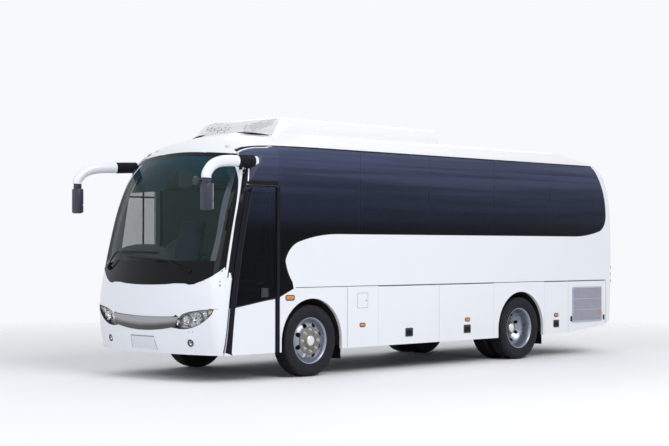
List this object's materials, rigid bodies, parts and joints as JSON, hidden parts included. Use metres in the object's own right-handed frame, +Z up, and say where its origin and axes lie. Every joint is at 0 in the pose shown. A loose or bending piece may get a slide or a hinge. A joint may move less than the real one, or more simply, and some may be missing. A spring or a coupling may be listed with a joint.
{
  "type": "midi coach bus",
  "caption": "Midi coach with a hollow cabin, swing-out passenger door, top-hinged side lids, engine lid, roof cooling unit, steered front wheels and twin rear wheels.",
  "frame": {"origin": "on the road under the middle of the coach's overall box", "axes": "+X to the coach's left, its door side; +Y to the rear; +Z up; the front faces -Y"},
  "size_m": [2.79, 8.862, 3.4319],
  "materials": {
    "body_paint": "gloss white coach enamel",
    "side_glass": "dark tinted bonded glass",
    "screen_glass": "lightly tinted laminated glass",
    "lamp_lens": "clear lens over bright reflectors",
    "tail_lens": "red lens",
    "floor_covering": "grey ribbed floor covering",
    "chassis_paint": "satin black chassis paint",
    "black_plastic": "grained black plastic",
    "flap_rubber": "black rubber sheet",
    "seat_fabric": "woven seat cloth",
    "wheel_paint": "silver wheel paint",
    "tyre": "road tyre rubber"
  },
  "bodies": {
    "root": {"front_mask": "body_paint", "windscreen": "screen_glass", "headlamps": "lamp_lens", "fog_lamps": "lamp_lens", "roof_shell": "body_paint", "roof_unit": "body_paint", "rear_wall": "body_paint", "rear_glass": "side_glass", "tail_lamps": "tail_lens", "floor_deck": "floor_covering", "entrance_steps": "floor_covering", "luggage_bays": "chassis_paint", "chassis_frame": "chassis_paint", "wheel_housings": "black_plastic", "mudflaps": "flap_rubber", "front_axle": "chassis_paint", "rear_axle": "chassis_paint", "springs": "chassis_paint", "engine": "chassis_paint", "dashboard": "black_plastic", "driver_seat": "seat_fabric", "passenger_seats": "seat_fabric", "left_side_wall": "body_paint", "right_side_wall": "body_paint", "left_side_glass": "side_glass", "right_side_glass": "side_glass", "mirror_left": "black_plastic", "mirror_right": "black_plastic"},
    "door_arm": {"door_arm": "chassis_paint"},
    "door_leaf": {"door_leaf": "body_paint", "door_glass": "side_glass"},
    "steering_wheel": {"steering_wheel": "black_plastic"},
    "engine_lid": {"engine_lid": "body_paint"},
    "roof_hatch": {"roof_hatch": "body_paint"},
    "knuckle_left": {"knuckle_left": "chassis_paint"},
    "front_wheel_left": {"front_rim_left": "wheel_paint", "front_tyre_left": "tyre"},
    "rear_wheels_left": {"rear_rims_left": "wheel_paint", "rear_tyres_left": "tyre"},
    "left_luggage_door_1": {"left_luggage_door_1": "body_paint"},
    "left_luggage_door_2": {"left_luggage_door_2": "body_paint"},
    "left_service_door": {"left_service_door": "body_paint"},
    "left_engine_side_door": {"left_engine_side_door": "body_paint"},
    "knuckle_right": {"knuckle_right": "chassis_paint"},
    "front_wheel_right": {"front_rim_right": "wheel_paint", "front_tyre_right": "tyre"},
    "rear_wheels_right": {"rear_rims_right": "wheel_paint", "rear_tyres_right": "tyre"},
    "right_luggage_door_1": {"right_luggage_door_1": "body_paint"},
    "right_luggage_door_2": {"right_luggage_door_2": "body_paint"},
    "right_service_door": {"right_service_door": "body_paint"},
    "right_engine_side_door": {"right_engine_side_door": "body_paint"}
  },
  "joints": [
    {"name": "steer_left", "type": "hinge", "parent": "root", "child": "knuckle_left", "pos_m": [0.93, -2.491, 0.465], "axis": [0, 0, 1], "range_deg": [-38, 38]},
    {"name": "front_spin_left", "type": "hinge", "parent": "knuckle_left", "child": "front_wheel_left", "pos_m": [1.0925, -2.491, 0.465], "axis": [1, 0, 0], "continuous": true},
    {"name": "rear_spin_left", "type": "hinge", "parent": "root", "child": "rear_wheels_left", "pos_m": [1.0925, 1.909, 0.465], "axis": [1, 0, 0], "continuous": true},
    {"name": "left_luggage_door_1_hinge", "type": "hinge", "parent": "root", "child": "left_luggage_door_1", "pos_m": [1.232, -0.607, 1.138], "axis": [0, -1, 0], "range_deg": [0, 88]},
    {"name": "left_luggage_door_2_hinge", "type": "hinge", "parent": "root", "child": "left_luggage_door_2", "pos_m": [1.232, 0.6415, 1.138], "axis": [0, -1, 0], "range_deg": [0, 88]},
    {"name": "left_service_door_hinge", "type": "hinge", "parent": "root", "child": "left_service_door", "pos_m": [1.232, 2.7935, 1.138], "axis": [0, -1, 0], "range_deg": [0, 88]},
    {"name": "left_engine_side_door_hinge", "type": "hinge", "parent": "root", "child": "left_engine_side_door", "pos_m": [1.232, 3.6035, 1.138], "axis": [0, -1, 0], "range_deg": [0, 88]},
    {"name": "steer_right", "type": "hinge", "parent": "root", "child": "knuckle_right", "pos_m": [-0.93, -2.491, 0.465], "axis": [0, 0, 1], "range_deg": [-38, 38]},
    {"name": "front_spin_right", "type": "hinge", "parent": "knuckle_right", "child": "front_wheel_right", "pos_m": [-1.0925, -2.491, 0.465], "axis": [1, 0, 0], "continuous": true},
    {"name": "rear_spin_right", "type": "hinge", "parent": "root", "child": "rear_wheels_right", "pos_m": [-1.0925, 1.909, 0.465], "axis": [1, 0, 0], "continuous": true},
    {"name": "right_luggage_door_1_hinge", "type": "hinge", "parent": "root", "child": "right_luggage_door_1", "pos_m": [-1.232, -0.607, 1.138], "axis": [0, 1, 0], "range_deg": [0, 88]},
    {"name": "right_luggage_door_2_hinge", "type": "hinge", "parent": "root", "child": "right_luggage_door_2", "pos_m": [-1.232, 0.6415, 1.138], "axis": [0, 1, 0], "range_deg": [0, 88]},
    {"name": "right_service_door_hinge", "type": "hinge", "parent": "root", "child": "right_service_door", "pos_m": [-1.232, 2.7935, 1.138], "axis": [0, 1, 0], "range_deg": [0, 88]},
    {"name": "right_engine_side_door_hinge", "type": "hinge", "parent": "root", "child": "right_engine_side_door", "pos_m": [-1.232, 3.6035, 1.138], "axis": [0, 1, 0], "range_deg": [0, 88]},
    {"name": "steering_wheel_turn", "type": "hinge", "parent": "root", "child": "steering_wheel", "pos_m": [-0.64, -3.681, 1.48], "axis": [0, 0.5736, 0.8192], "range_deg": [-684, 684]},
    {"name": "door_swing", "type": "hinge", "parent": "root", "child": "door_arm", "pos_m": [1.12, -3.191, 1.4], "axis": [0, 0, 1], "range_deg": [0, 140]},
    {"name": "door_leaf_turn", "type": "hinge", "parent": "door_arm", "child": "door_leaf", "pos_m": [1.12, -3.621, 1.4], "axis": [0, 0, 1], "range_deg": [-140, 0]},
    {"name": "engine_lid_hinge", "type": "hinge", "parent": "root", "child": "engine_lid", "pos_m": [0, 4.423, 1.334], "axis": [1, 0, 0], "range_deg": [0, 75]},
    {"name": "roof_hatch_hinge", "type": "hinge", "parent": "root", "child": "roof_hatch", "pos_m": [0, 1.149, 3.219], "axis": [1, 0, 0], "range_deg": [0, 40]}
  ],
  "couplings": [
    {"joint": "steer_right", "follows": "steer_left", "ratio": 1},
    {"joint": "steering_wheel_turn", "follows": "steer_left", "ratio": 18},
    {"joint": "door_leaf_turn", "follows": "door_swing", "ratio": -1}
  ]
}
